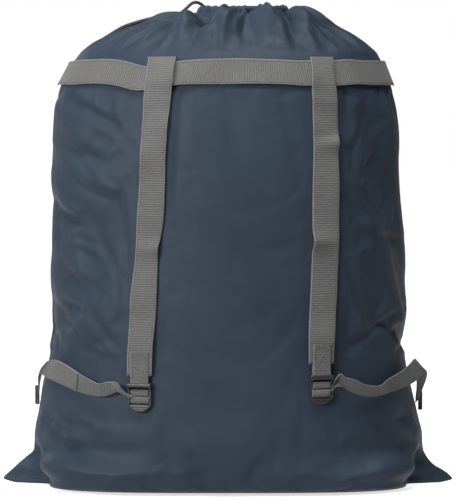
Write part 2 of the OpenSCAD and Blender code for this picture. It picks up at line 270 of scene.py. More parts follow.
def webbing_material(name, base, edge, pitch=2.7, rough=0.78):
    """Ribbed webbing. UV x runs across from 0 to 1, y along in metres."""
    m, nt, b = new_material(name)
    g = Graph(nt)
    uv, ob = g.uv(), g.obj()
    x, y, _ = g.xyz(uv)
    rib = g.math("SINE", g.math("MULTIPLY", y, WAVE_MM / pitch))
    yarn = g.math("SINE", g.math("MULTIPLY", x, 150.0))
    side = g.math("ABSOLUTE", g.math("SUBTRACT", x, 0.5))
    rim = g.math("GREATER_THAN", side, 0.455)
    groove_shade = g.math("LESS_THAN", g.math("ABSOLUTE", g.math("SUBTRACT", side, 0.44)), 0.016)
    inner = g.math("SUBTRACT", 1.0, rim)
    body = g.math("MULTIPLY", rib, inner)
    # painted light on the ribs: the colour is lighter on the rib crests and darker in the troughs, in step with
    # the rib bump
    tone = g.math("MULTIPLY_ADD", body, 0.24, 0.5)
    tone = g.math("ADD", tone, g.math("MULTIPLY", g.math("SUBTRACT", g.noise(ob, 260, 3), 0.5), 0.5))
    tone = g.math("ADD", tone, g.math("MULTIPLY", g.math("SUBTRACT", g.noise(ob, 18, 3), 0.5), 0.35))
    # painted highlight on the raised rim at each edge, and painted shade in the recess line just inside it
    tone = g.math("ADD", tone, g.math("MULTIPLY", rim, 0.34))
    tone = g.math("SUBTRACT", tone, g.math("MULTIPLY", groove_shade, 0.22))
    # lo is the painted shade colour and edge the painted highlight colour; the noise spreads random tone
    # between them
    lo = tuple(c * 0.72 for c in base)
    g.link(g.ramp(tone, [(0.0, lo), (0.5, base), (1.0, edge)]), b.inputs["Base Color"])
    h = g.math("ADD", g.math("MULTIPLY", body, 0.8), g.math("MULTIPLY", yarn, 0.35))
    h = g.math("ADD", h, g.math("MULTIPLY", rim, 0.9))
    n1 = g.bump(h, 0.55, 0.0005)
    n2 = g.bump(g.noise(ob, 700, 2), 0.2, 0.0004, n1)
    g.link(n2, b.inputs["Normal"])
    set_inputs(b, Roughness=rough, Specular_IOR_Level=0.3, Sheen_Weight=0.08, Sheen_Roughness=0.5)
    return m


def cord_material(name):
    """Braided cord. UV x runs round from 0 to 1, y along in turns of the braid."""
    m, nt, b = new_material(name)
    g = Graph(nt)
    uv, ob = g.uv(), g.obj()
    x, y, _ = g.xyz(uv)
    a = g.math("SINE", g.math("MULTIPLY", g.math("ADD", x, y), BRAID))
    c = g.math("SINE", g.math("MULTIPLY", g.math("SUBTRACT", x, y), BRAID))
    braid = g.math("MAXIMUM", a, c)
    fuzz = g.noise(ob, 900, 2)
    # painted light on the braid: darkest between the strands and lighter on their crests, in step with the
    # braid bump
    tone = g.math("MULTIPLY_ADD", braid, 0.3, 0.4)
    g.link(g.ramp(tone, [(0.1, (0.004, 0.004, 0.005)), (0.9, (0.022, 0.022, 0.025))]), b.inputs["Base Color"])
    n1 = g.bump(braid, 0.7, 0.0005)
    g.link(g.bump(fuzz, 0.3, 0.0003, n1), b.inputs["Normal"])
    set_inputs(b, Roughness=0.62, Sheen_Weight=0.15)
    return m


def plastic_material(name, color, rough=0.33):
    m, nt, b = new_material(name)
    g = Graph(nt)
    ob = g.obj()
    dark, light = (tuple(c * k for c in color) for k in (0.8, 1.3))
    g.link(g.ramp(g.noise(ob, 60, 3), [(0.3, dark), (0.75, light)]), b.inputs["Base Color"])
    g.link(g.math("MULTIPLY_ADD", g.noise(ob, 140, 4), 0.22, rough - 0.08), b.inputs["Roughness"])
    g.link(g.bump(g.noise(ob, 1400, 2), 0.12, 0.0002), b.inputs["Normal"])
    set_inputs(b, Specular_IOR_Level=0.5)
    return m


def metal_material(name, color, rough):
    m, nt, b = new_material(name)
    g = Graph(nt)
    ob = g.obj()
    dark = tuple(c * 0.8 for c in color)
    g.link(g.ramp(g.noise(ob, 120, 3), [(0.3, dark), (0.8, color)]), b.inputs["Base Color"])
    g.link(g.math("MULTIPLY_ADD", g.noise(ob, 400, 3), 0.2, rough - 0.1), b.inputs["Roughness"])
    set_inputs(b, Metallic=1.0)
    return m


NAVY = fabric_material("navy_taffeta", (0.0172, 0.0258, 0.0385), (0.0225, 0.0330, 0.0482))
# the second colour of each webbing_material call is the painted highlight of its rims and rib crests
GREY = webbing_material("grey_webbing", (0.071, 0.071, 0.070), (0.125, 0.125, 0.123), pitch=3.2)
GREY_FINE = webbing_material("grey_webbing_narrow", (0.071, 0.073, 0.072), (0.125, 0.125, 0.123), pitch=2.4)
TAB = webbing_material("dark_webbing", (0.009, 0.011, 0.015), (0.022, 0.025, 0.03), pitch=2.2)
CORD = cord_material("black_braid")
PLASTIC = plastic_material("black_plastic", (0.012, 0.012, 0.013))
EYELET = metal_material("black_eyelet", (0.06, 0.06, 0.065), 0.42)
STEEL = metal_material("spring_steel", (0.62, 0.62, 0.62), 0.3)
THREAD = webbing_material("sewing_thread", (0.10, 0.10, 0.098), (0.19, 0.19, 0.185), pitch=0.8)


# ------------------------------------------------------------------ tubes, ribbons, stitches
def tube(name, pts, r, material, sides=12, closed=False, taper=None):
    p = np.asarray(pts, float)
    n = len(p)
    tg = unit(np.roll(p, -1, 0) - np.roll(p, 1, 0)) if closed else unit(np.gradient(p, axis=0))
    e = np.array([0.6, 0.8, 0.0])
    if abs(e @ tg[0]) > 0.9:
        e = np.array([0.8, -0.6, 0.0])
    frames = []
    e = unit(e - (e @ tg[0]) * tg[0])
    for t in tg:
        e = unit(e - (e @ t) * t)
        frames.append((e, np.cross(t, e)))
    rr = np.full(n, float(r)) if taper is None else np.asarray(taper, float)
    ang = np.linspace(0, 2 * np.pi, sides + 1)
    s = np.r_[0, np.cumsum(np.linalg.norm(np.diff(p, axis=0), axis=1))]
    verts, uv, faces = [], [], []
    for i in range(n):
        a, b = frames[i]
        for j, q in enumerate(ang):
            verts.append(p[i] + rr[i] * (math.cos(q) * a + math.sin(q) * b))
            uv.append((j / sides, s[i] / (2 * np.pi * r) / 2))
    m = sides + 1
    for i in range(n - 1):
        for j in range(sides):
            faces.append((i * m + j, i * m + j + 1, (i + 1) * m + j + 1, (i + 1) * m + j))
    if not closed:
        for k, i in ((0, 0), (1, n - 1)):
            verts.append(p[i] + (tg[i] * rr[i] * (0.35 if k else -0.35)))
            uv.append((0.5, uv[i * m][1]))
            c = len(verts) - 1
            for j in range(sides):
                f = (i * m + j, i * m + j + 1, c)
                faces.append(f if k else f[::-1])
    ob = make_mesh(name, verts, faces, uv, material)
    bm = bmesh.new()
    bm.from_mesh(ob.data)
    bmesh.ops.remove_doubles(bm, verts=bm.verts, dist=1e-7)
    bm.to_mesh(ob.data)
    bm.free()
    return ob


# a stitch along its length: place, thickness, rise
STITCH = ((0.0, 0.35, 0.0), (0.2, 0.95, 0.55), (0.5, 1.1, 0.75), (0.8, 0.95, 0.55), (1.0, 0.35, 0.0))


def stitches(name, lines, material, length=0.0030, gap=0.0012, r=0.00042):
    """Rows of small raised stitches. Each line is (points, normals)."""
    verts, faces, uv = [], [], []
    for pts, nrm in lines:
        pts, nrm = np.asarray(pts, float), np.asarray(nrm, float)
        s = np.r_[0, np.cumsum(np.linalg.norm(np.diff(pts, axis=0), axis=1))]
        at = 0.0
        while at + length <= s[-1] + 1e-9:
            p = [np.array([np.interp(at + f * length, s, pts[:, k]) for k in range(3)]) for f in (0, 0.5, 1)]
            nn = unit(np.array([np.interp(at + 0.5 * length, s, nrm[:, k]) for k in range(3)]))
            d = unit(p[2] - p[0])
            w = np.cross(nn, d)
            base = len(verts)
            for f, rad, lift in STITCH:
                c = p[0] + (p[2] - p[0]) * f + nn * (lift - 0.25) * r
                for q in range(6):
                    a = q * math.pi / 3
                    verts.append(c + rad * r * (math.cos(a) * w + math.sin(a) * nn))
                    uv.append((q / 6, at + f * length))
            for i in range(4):
                for q in range(6):
                    faces.append((base + i * 6 + q, base + i * 6 + (q + 1) % 6,
                                  base + (i + 1) * 6 + (q + 1) % 6, base + (i + 1) * 6 + q))
            faces.append(tuple(base + q for q in range(6))[::-1])
            faces.append(tuple(base + 24 + q for q in range(6)))
            at += length + gap
    return make_mesh(name, verts, faces, uv, material)


# ------------------------------------------------------------------ cords (route repeats part.scad)
LOCK_P = np.array([-223.5, 81, 466])
LT, LL = math.radians(50), math.radians(7.3)
LOCK_UP = np.array([math.sin(LT) * math.sin(LL), -math.cos(LT) * math.sin(LL), math.cos(LL)])
LOCK_OUT = np.array([-math.sin(LT) * math.cos(LL), math.cos(LT) * math.cos(LL), math.sin(LL)])


def lock_line(k, s):
    return list(LOCK_P + k * LOCK_UP + s * LOCK_OUT)


TAIL_A = [
    [-18.5, 45, 663], [-25, 52.5, 663.5], [-31, 57, 667], [-38, 56.5, 673], [-45, 51, 675.5],
    [-52, 44, 673], [-59, 36, 666], [-68, 30, 659], [-80, 24, 656], [-95, 19, 654],
    [-112, 16, 650.5], [-130, 15, 645.5], [-148, 15, 639], [-165, 17, 629], [-180, 21, 619],
    [-193, 29, 604], [-204, 42, 586], [-212, 57, 564], [-217, 69, 544],
    lock_line(60, 2.45), lock_line(30, 2.45), lock_line(0, 2.45), lock_line(-30, 2.45),
    lock_line(-60, 2.45),
    [-233, 86, 391], [-232, 82, 371], [-229, 80, 348], [-228, 79, 324], [-228, 79, 300],
]
TAIL_B = [
    [-15, 48, 663], [-21.5, 55.7, 663], [-28, 62, 662.5], [-36, 63, 660], [-45, 57, 659],
    [-55, 48, 658.5], [-66, 40, 657.5], [-78, 32, 656.5], [-93, 27, 654], [-110, 24, 650.5],
    [-128, 22.5, 645.5], [-146, 23, 639], [-163, 25, 629], [-178, 29, 619], [-191, 38, 603],
    [-200, 49, 585], [-207, 60, 564], [-212, 69, 544],
    lock_line(60, -2.45), lock_line(30, -2.45), lock_line(0, -2.45), lock_line(-30, -2.45),
    lock_line(-60, -2.45),
    [-228, 83, 391], [-226, 82, 372], [-223, 84, 352], [-224, 87, 332],
]


def knot(name, at):
    """An overhand knot pulled snug, with a short sealed end below it."""
    t = np.linspace(0, 2 * np.pi, 121)[:-1]
    R, k = 3.1, 1.75
    x = (R + k * np.cos(3 * t)) * np.cos(2 * t)
    y = (R + k * np.cos(3 * t)) * np.sin(2 * t)
    z = 1.25 * k * np.sin(3 * t)
    p = (np.stack([x, z, y], 1) + np.array(at) + [0, 0, -6.0]) * MM
    ob = tube(name, np.vstack([p, p[:1]]), 2.1 * MM, CORD, 10, closed=True)
    q = np.array([[0.4, 0, -8.5], [0.3, 0.3, -12], [0, 0.2, -15], [0.2, 0, -18.2]]) + np.array(at)
    line = spline(q * MM, 0.001)
    r = np.full(len(line), 2.2 * MM)
    r[-2:] = (2.0 * MM, 1.5 * MM)
    end = tube(name + "_end", line, 2.2 * MM, CORD, 10, taper=r)
    return ob, end


for side, route in (("left", TAIL_A), ("right", TAIL_B)):
    line = spline(np.array(route) * MM, 0.002)
    piece = tube("cord_tail_" + side, line, 2.25 * MM, CORD, 12)
    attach(piece, "bag")
    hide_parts("drawstring_tail_" + side)
    kn, ke = knot("cord_knot_" + side, route[-1])
    for o in (kn, ke):
        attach(o, "bag")
    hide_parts("tail_knot_" + side)

# ------------------------------------------------------------------ the bag's form
# height, middle in x, half width, half depth, roundness (mm)
ROWS = np.array([
    [0, 0, 286, 0, 2], [0, 0, 298, 120, 1.85], [7, 0, 317, 140, 1.30],
    [26, 0, 298, 152, 1.42], [52, 0, 278, 156, 1.80], [86, 0, 270, 157.5, 2.12],
    [136, 0, 257.5, 158, 2.25], [186, 0, 248, 157, 2.25], [286, 0, 247, 155, 2.25],
    [386, 2, 246, 152, 2.25], [466, 4, 243, 148, 2.25], [526, 6, 237, 141, 2.2],
    [557, 8, 230, 135, 2.2], [592, 10, 215, 121, 2.15], [616, 11, 192, 107, 2.1],
    [636, 12, 160, 92, 2.05], [648, 15, 125, 80, 2], [653, 18, 98, 73, 2],
    [655, 21, 74, 68, 2], [659, 22, 65.6, 65.6, 2], [663.5, 22, 65.4, 65.4, 2],
    [667.5, 22, 62.4, 62.4, 2], [669.3, 22, 57, 57, 2], [667.5, 22, 51.2, 51.2, 2],
    [663, 22, 48.6, 48.6, 2], [657, 22, 50, 50, 2], [653, 22, 54, 54, 2],
])
CAD_ROWS = np.array([
    [0, 0, 300, 134, 1.9], [8, 0, 317, 147, 1.6], [26, 0, 297, 153, 1.7], [52, 0, 278, 156, 1.95],
    [86, 0, 271, 158, 2.15], [136, 0, 258, 158, 2.25], [186, 0, 248, 157, 2.25], [286, 0, 247, 155, 2.25],
    [386, 2, 246, 152, 2.25], [466, 4, 243, 148, 2.25], [526, 6, 237, 141, 2.2], [557, 8, 230, 135, 2.2],
    [592, 10, 215, 121, 2.15], [616, 11, 192, 107, 2.1], [636, 12, 160, 92, 2.05], [648, 15, 125, 80, 2],
    [653, 18, 98, 73, 2],
])


def cad_row(z):
    """Middle in x, half width, half depth and roundness of the CAD bag at height z."""
    return [np.interp(z, CAD_ROWS[:, 0], CAD_ROWS[:, k]) for k in range(1, 5)]


def side_y(x, z, off):
    """Depth of the bag's side at (x, z), in mm, as in part.scad."""
    r = cad_row(z)
    u = np.abs((np.asarray(x, float) - r[0]) / (r[1] + off))
    return (r[2] + off) * np.maximum(1 - u ** r[3], 0) ** (1 / r[3])


def on_side(x, z, off):
    x, z, off = np.broadcast_arrays(np.asarray(x, float), np.asarray(z, float), np.asarray(off, float))
    return np.stack([x, -side_y(x, z, off), z], -1)


NU = 112   # columns per panel
NV = 150  # rows


def loft():
    """Even grid over both panels: rows up the bag, columns at even lengths round it."""
    mid = np.stack([ROWS[:, 3], ROWS[:, 0]], 1)
    q = np.stack([ROWS[:, 2], ROWS[:, 0]], 1)
    step = (0.5 * np.linalg.norm(np.diff(mid, axis=0), axis=1)
            + 0.5 * np.linalg.norm(np.diff(q, axis=0), axis=1))
    v = np.r_[0, np.cumsum(step)]
    at = np.linspace(0, 1, NV + 1) * v[-1]
    par = np.stack([pchip(v, ROWS[:, k], at) for k in range(5)], 1)
    th = np.linspace(-np.pi / 2, np.pi / 2, 721)
    front = np.zeros((NV + 1, NU + 1, 3))
    for i, (z, cx, a, b, n) in enumerate(par):
        x = cx + a * np.sign(np.sin(th)) * np.abs(np.sin(th)) ** (2 / n)
        y = b * np.abs(np.cos(th)) ** (2 / n)
        # the base corners: a boxy body with a thin ear of cloth standing out at each side
        inner = float(np.interp(z, [0, 10, 60], [250, 253, 268]))
        body = b * np.maximum(1 - np.abs((x - cx) / inner) ** 3.4, 0) ** (1 / 3.4)
        ear = min(b, 20) * np.clip((a - np.abs(x - cx)) / max(a - inner + 20, 20), 0, 1) ** 0.75
        y = y + (np.maximum(body, ear) - y) * (1 - float(smooth(30, 64, z)))
        s = np.r_[0, np.cumsum(np.hypot(np.diff(x), np.diff(y)))]
        e = np.linspace(0, s[-1], NU + 1)
        front[i, :, 0] = np.interp(e, s, x)
        front[i, :, 1] = -np.interp(e, s, y)
        front[i, :, 2] = z
    back = front.copy()
    back[:, :, 1] *= -1
    return front, back, at, par


FRONT, BACK, VLEN, PAR = loft()


def grid_normals(g, sign):
    du = np.gradient(g, axis=1)
    dv = np.gradient(g, axis=0)
    return unit(np.cross(du, dv)) * sign


def soft_abs_wave(x):
    """Rounded ridge with a sharper valley, from -1 to 1."""
    return 1 - 2 * np.abs(np.sin(x / 2)) ** 1.25


def line_frame(p, a, b):
    """Where points lie by the line from a to b: along it from 0 to 1, off it in mm, and its direction."""
    a, b = np.array(a, float), np.array(b, float)
    d = b - a
    L = np.hypot(*d)
    return ((p - a) @ d) / L**2, ((p[..., 0] - a[0]) * d[1] - (p[..., 1] - a[1]) * d[0]) / L, d


def crease(p, a, b, width, depth, tail=0.25):
    """A soft line of fold from a to b in a plane: positive stands proud, negative is pressed in."""
    t, off, _ = line_frame(p, a, b)
    along = smooth(-tail, 0.15, t) * (1 - smooth(0.85, 1 + tail, t))
    return depth * bump(off, 0, width) * along


# creases of the strap side: from, to, half width, depth (mm)
CREASES = [
    ((-246, 470), (-150, 300), 9, -2.6), ((-232, 500), (-176, 420), 7, -2.2),
    ((-240, 400), (-170, 330), 8, -1.8), ((-244, 330), (-160, 210), 9, -2.4),
    ((-243, 260), (-190, 190), 8, -2.2), ((-225, 540), (-150, 500), 6, -1.8),
    ((-205, 548), (-128, 470), 7, -1.6), ((-236, 445), (-205, 300), 8, 1.8),
    ((-240, 215), (-200, 120), 8, -1.8), ((-150, 420), (-132, 260), 9, -1.6),
    ((-60, 545), (-72, 430), 10, -1.3), ((0, 545), (12, 450), 11, -1.0), ((75, 545), (98, 420), 10, -1.3),
    ((158, 548), (175, 440), 8, -1.9), ((196, 540), (176, 470), 7, -1.6),
    ((228, 500), (182, 420), 8, -2.0), ((238, 440), (196, 300), 9, -1.8),
    ((240, 330), (200, 240), 8, -1.9), ((236, 250), (176, 205), 8, -1.8),
    ((160, 250), (170, 120), 9, -1.5), ((215, 190), (235, 110), 8, -1.6),
    ((-300, 12), (-215, 96), 9, -6.0), ((-298, 24), (-190, 52), 8, 3.0), ((-296, 6), (-180, 24), 9, -5.0),
    ((-284, 40), (-226, 130), 7, -4.0), ((-268, 66), (-236, 150), 6, 2.2),
    ((-210, 30), (-140, 44), 9, -2.2), ((300, 10), (212, 84), 9, -6.0), ((298, 22), (196, 44), 8, 3.0),
    ((292, 5), (180, 18), 9, -5.0), ((284, 36), (228, 120), 7, -4.0), ((268, 60), (238, 150), 6, 2.2),
    ((205, 30), (120, 40), 9, -2.0), ((-120, 20), (-20, 34), 10, -1.8), ((20, 26), (110, 16), 10, -1.6),
]


# puffs and pits that the drawn mouth makes: place, half widths, height (mm)
PUFFS = [
    (-3, -77, 14, 17, 20), (46, -72, 28, 18, 19), (98, -46, 22, 36, 17), (128, -10, 22, 40, 9),
    (-58, -58, 13, 20, 12), (-92, -46, 22, 24, 4), (-31, -62, 8, 14, -24), (20, -92, 6, 22, -6),
    (-30, -92, 12, 12, 5), (-84, -14, 36, 20, 7), (-130, -10, 24, 18, 3),
    (60, 72, 26, 22, 8), (108, 44, 24, 24, 9), (24, 78, 6, 24, -5), (86, 66, 6, 24, -5),
]
# folds that run from the mouth to the band, seen from above: from, to, half width, depth (mm)
PLEATS = [
    ((82, -64), (92, -112), 7, -9), ((70, -62), (77, -104), 8, 5), ((103, -60), (120, -98), 8, 5),
    ((124, -52), (152, -90), 6, -5), ((140, -34), (178, -62), 7, -4), ((-14, -66), (-7, -112), 8, 4),
    ((-42, -84), (-56, -116), 5, -5), ((-52, -62), (-76, -110), 8, 4.5),
    ((-66, -52), (-104, -104), 6, -6), ((-76, -46), (-126, -92), 8, 4), ((-84, -40), (-148, -84), 6, -6),
    ((-96, -30), (-164, -68), 7, 3), ((-100, -20), (-184, -56), 6, -5), ((30, -76), (37, -118), 7, -3.5),
    ((48, -74), (55, -112), 10, 3), ((-22, -92), (-26, -122), 6, 4), ((10, -96), (14, -122), 6, -3),
]
# sharp creases of the strap side in the x, z plane
SHARP = [
    ((-223, 549), (-156, 507), 7, 3.6), ((-220, 474), (-166, 453), 7, 4.4),
    ((-212, 428), (-150, 398), 7, 4.0), ((-240, 386), (-204, 374), 6, 4.4),
    ((-226, 366), (-206, 377), 6, 3.0), ((-213, 353), (-186, 338), 5, 3.6),
    ((-215, 336), (-182, 320), 5, 3.6), ((-222, 300), (-186, 280), 6, 3.2),
    ((-234, 265), (-196, 247), 6, 4.2), ((-234, 234), (-196, 214), 6, 4.2),
    ((-228, 500), (-196, 478), 6, 2.4), ((-168, 548), (-150, 500), 6, 2.6),
    ((244, 347), (186, 356), 6, 3.2), ((240, 219), (200, 238), 6, 3.4), ((218, 470), (190, 440), 7, 1.6),
    ((232, 408), (206, 372), 7, 1.6), ((-246, 101), (-188, 90), 5, 3.2), ((-246, 88), (-202, 58), 6, 4.6),
    ((-236, 72), (-196, 60), 5, 2.6), ((-246, 120), (-205, 113), 5, 2.4),
    ((-240, 36), (-205, 27), 6, 2.6), ((262, 62), (222, 84), 6, 3.2), ((248, 98), (196, 92), 5, 2.6),
    ((246, 40), (206, 28), 6, 2.6),
]

def lean(p):
    """The full bag draws in at the band and is a little slack half way down. The cords' side stays."""
    x, y, z = p[..., 0], p[..., 1], p[..., 2]
    r = cad_row(z)
    u = (x - r[0]) / r[1]
    below_mouth = 1 - smooth(638, 654, z)
    left = -(12 * bump(z, 560, 80) + 5 * bump(z, 285, 50) + 4 * bump(z, 150, 35)) * below_mouth
    right = -(11 * bump(z, 580, 70) + 9 * bump(z, 410, 75) - 5 * bump(z, 238, 25)) * below_mouth
    left = left * smooth(0.55, 0.97, -u) * (1 - smooth(12, 52, y))
    right = right * smooth(0.55, 0.97, u)
    out = p.copy()
    out[..., 0] += left + right
    return out


def fold(p, a, b, width, depth):
    """A pressed line with a soft ridge over it, drawn after the simulation so that it stays crisp."""
    t, off, d = line_frame(p, a, b)
    if d[0] > 0:
        off = -off
    along = smooth(-0.12, 0.2, t) * (1 - smooth(0.75, 1.15, t))
    return depth * along * (0.55 * bump(off, 1.7 * width, 1.3 * width) - bump(off, 0, width))


def late_height(g, side, mask):
    """Crisp folds and mouth puffs in mm along the outward normal, added after the simulation."""
    x, y, z = g[..., 0], g[..., 1], g[..., 2]
    v = VLEN / VLEN[-1]
    vv = np.broadcast_to(v[:, None], z.shape)
    band, rim = v[int(np.argmax(PAR[:, 0] > 594))], v[int(np.argmax(PAR[:, 0] > 648))]
    crown = smooth(band, band + 0.06, vv) * (1 - smooth(rim + 0.026, rim + 0.040, vv))
    plan = np.stack([x, y], -1)
    h = sum(a * np.exp(-((x - cx) / sx) ** 2 - ((y - cy) / sy) ** 2) for cx, cy, sx, sy, a in PUFFS)
    h = crown * (h + sum(crease(plan, *k) for k in PLEATS)) * (1 - mask)
    if side < 0:
        p2 = np.stack([x, z], -1)
        h = h + sum(fold(p2, *k) for k in SHARP) * (1 - smooth(548, 556, z)) * (1 - mask) * (vv < band)
        under = smooth(505, 549, z) * (1 - smooth(551, 557, z)) * (vv < band)
        small = np.sin(x / 2.6 + 2.0 * np.sin(x / 9.0)) * (0.35 + 0.65 * smooth(120, 200, np.abs(x)))
        h = h + under * 1.1 * small * (1 - mask)
    return h


def fold_height(g, side, frac):
    """Folds of one panel in mm along the outward normal. frac is 0..1 round the panel."""
    z = g[..., 2]
    rad = np.arange(g.shape[0])[:, None] / NV
    up = VLEN[:, None] / VLEN[-1]
    hem = smooth(654, 661, z) * (rad > 0.85)
    phi = (frac * np.pi if side < 0 else np.pi + (1 - frac) * np.pi)
    r = np.random.RandomState(11)
    waves = zip((1, 2, 3, 5, 7), (0.7, 0.5, 0.4, 0.28, 0.2), r.uniform(0, 6.28, 5))
    warp = sum(a * np.sin(k * phi + p) for k, a, p in waves)
    amp = 0.75 + 0.25 * np.sin(3 * phi + 1.1) + 0.22 * np.sin(7 * phi + 0.4) + 0.16 * np.sin(11 * phi + 2.0)
    vz = VLEN / VLEN[-1]
    i0 = int(np.argmax(PAR[:, 0] > 560))
    i1 = int(np.argmax(PAR[:, 0] > 648))
    vv = np.broadcast_to(vz[:, None], z.shape)
    start = vz[i0] + (vz[i1] - vz[i0]) * (0.15 + 0.3 * np.sin(5 * phi + 0.9) ** 2)
    grow = smooth(start, np.full_like(start, vz[i1]), vv)
    big = soft_abs_wave(19 * phi + 2.4 * warp) * amp
    fine = soft_abs_wave(41 * phi + 3.1 * warp + 1.0)
    start2 = vz[i0] + (vz[i1] - vz[i0]) * 0.62
    grow2 = smooth(start2, vz[i1] + 0.01, vv)
    h = grow * (5.2 * big - 3.0) * (1 - 0.45 * hem) + grow2 * (2.2 * fine - 0.8) * (1 - 0.2 * hem)
    # gathers from the band up, strongest at both shoulders
    x, y = g[..., 0], g[..., 1]
    sides = 0.28 + 0.72 * smooth(40, 115, np.abs(x - 15)) if side < 0 else 0.75
    ib, ie = int(np.argmax(PAR[:, 0] > 591)), int(np.argmax(PAR[:, 0] > 645))
    rise = smooth(vz[ib], vz[ib] + 0.035, vv) * (1 - smooth(vz[ie], vz[i1] + 0.02, vv))
    gathers = soft_abs_wave(38 * phi + 4.2 * warp + 0.8 * np.sin(z / 17))
    h = h + rise * sides * (2.9 * gathers * (0.7 + 0.3 * np.sin(9 * phi + 1)) - 0.6)
    h = np.where((z > 659) & (rad > 0.85), np.maximum(h, -2.0), h)
    h = h + 1.6 * value_noise(g + side * 500, 3, 130) + 0.8 * value_noise(g + side * 300, 5, 52)
    if side < 0:
        p2 = np.stack([g[..., 0], g[..., 2]], -1)
        c = sum(crease(p2, *k) for k in CREASES)
        h = h + c * (1 - smooth(548, 560, z))
        gather = smooth(520, 549, z) * (1 - smooth(551, 556, z))
        drawn = np.stack([g[..., 0], np.full_like(z, 4), z * 0.12], -1)
        h = h + gather * 1.3 * (value_noise(drawn, 9, 9) - 0.25)
    else:
        p2 = np.stack([-g[..., 0], g[..., 2]], -1)
        c = sum(crease(p2 + [14, 9], *k) for k in CREASES)
        h = h + 1.1 * c * (1 - smooth(600, 640, z))
    return h


def strap_mask(g):
    """1 where webbing, buckles or cords lie on the cloth, so that it stays down there."""
    x, y, z = g[..., 0], g[..., 1], g[..., 2]
    m = np.zeros(x.shape)
    front = y < 40
    m = np.maximum(m, smooth(546, 553, z) * (1 - smooth(596, 604, z)) * (y < 10))
    for rows in (LEFT_ROWS, RIGHT_ROWS):
        rr = np.array(rows)[::-1]
        xl, xr = (np.interp(z, rr[:, 0], rr[:, k]) for k in (1, 2))
        near = smooth(-14, -4, x - xl) * (1 - smooth(4, 14, x - xr))
        m = np.maximum(m, near * smooth(100, 118, z) * (z < 575) * front)
    low = smooth(95, 115, z) * (1 - smooth(182, 196, z))
    m = np.maximum(m, low * smooth(128, 142, np.abs(x)) * (y < 12))
    pts = np.array(TAIL_A + TAIL_B)
    d = np.full(x.shape, 1e9)
    for q in spline(pts[:len(TAIL_A)], 6).tolist() + spline(pts[len(TAIL_A):], 6).tolist():
        d = np.minimum(d, (x - q[0]) ** 2 + (y - q[1]) ** 2 + (z - q[2]) ** 2)
    m = np.maximum(m, (1 - smooth(6, 20, np.sqrt(d))) * (y > -30))
    return m


# shoulder straps: height, left edge, right edge, distance from the cloth (mm)
LEFT_ROWS = [
    [554, -113, -75.5, 4.4], [537, -114, -77, 2.4], [497, -116, -81, 1.6], [456, -118, -84, 1.6],
    [414, -120, -85, 1.6], [375, -123, -87, 1.6], [327, -125, -94, 1.6], [275, -131, -96, 1.6],
    [240, -133, -98, 2.2], [211, -135, -101, 5.2], [196, -136, -102, 5.7], [164, -137, -103, 4.6],
]
RIGHT_ROWS = [
    [554, 113, 146.5, 4.4], [529, 114, 148, 2.2], [497, 114, 149, 1.6], [465, 115, 149, 1.6],
    [415, 114, 150, 1.6], [348, 114, 150, 1.6], [294, 112, 148, 1.6], [250, 110, 146, 2.2],
    [222, 109, 145, 5.2], [207, 109, 144, 5.5], [180, 109, 143, 4.8],
]


def build_bag():
    frac = np.broadcast_to(np.linspace(0, 1, NU + 1)[None, :], FRONT.shape[:2])
    n_f, n_b = grid_normals(FRONT, 1), grid_normals(BACK, -1)
    for n, s in ((n_f, -1), (n_b, 1)):
        n[0] = n[1]
        for c, o in ((0, -1), (-1, 1)):
            n[:, c] = unit(np.stack([np.full(NV + 1, float(o)), np.zeros(NV + 1), n[:, c, 2]], 1))
        n[:3] = (0, 0, -1)
    out = []
    for g, n, s in ((FRONT, n_f, -1), (BACK, n_b, 1)):
        h = fold_height(g, s, frac)
        m = strap_mask(g)
        h = h * (1 - smooth(0.0, 1.0, m)) - 0.4 * m
        h = h * smooth(0, 14, g[..., 2] + 40 * (np.arange(NV + 1)[:, None] > NV * 0.5))
        out.append((g, n, h, m))
    # meet at the side seams
    (gf, nf, hf, mf), (gb, nb, hb, mb) = out
    for c in (0, -1):
        mean = 0.5 * (hf[:, c] + hb[:, c])
        for h in (hf, hb):
            for k, w in ((0, 1.0), (1, 0.7), (2, 0.4), (3, 0.15)):
                j = c + k if c == 0 else c - k
                h[:, j] = h[:, j] * (1 - w) + mean * w
    # the sewn seams draw in a little
    for h in (hf, hb):
        for c in (0, -1):
            for k, w in ((0, 1.0), (1, 0.55), (2, 0.2)):
                j = c + k if c == 0 else c - k
                h[:, j] -= 1.6 * w * smooth(30, 80, FRONT[:, j, 2])
    pf = gf + nf * hf[..., None]
    pb = gb + nb * hb[..., None]
    for c in (0, -1):
        pf[:, c, 1] = pb[:, c, 1] = 0
        pb[:, c] = pf[:, c]
    pb[0] = pf[0] * [1, 0, 1]
    pf[0, :, 1] = 0
    return pf, pb, (nf, nb), (mf, mb)


PF, PB, NRM, MASK = build_bag()


def panel_faces(flip):
    f = []
    for i in range(NV):
        for j in range(NU):
            q = (i * (NU + 1) + j, i * (NU + 1) + j + 1, (i + 1) * (NU + 1) + j + 1, (i + 1) * (NU + 1) + j)
            f.append(q[::-1] if flip else q)
    return f


W_FLAT, L_FLAT = 0.650, 0.930  # one panel laid flat, in metres
SIM_FRAMES = 24
UVGRID = np.stack(np.meshgrid(np.linspace(0, W_FLAT, NU + 1), VLEN * MM), -1).reshape(-1, 2)


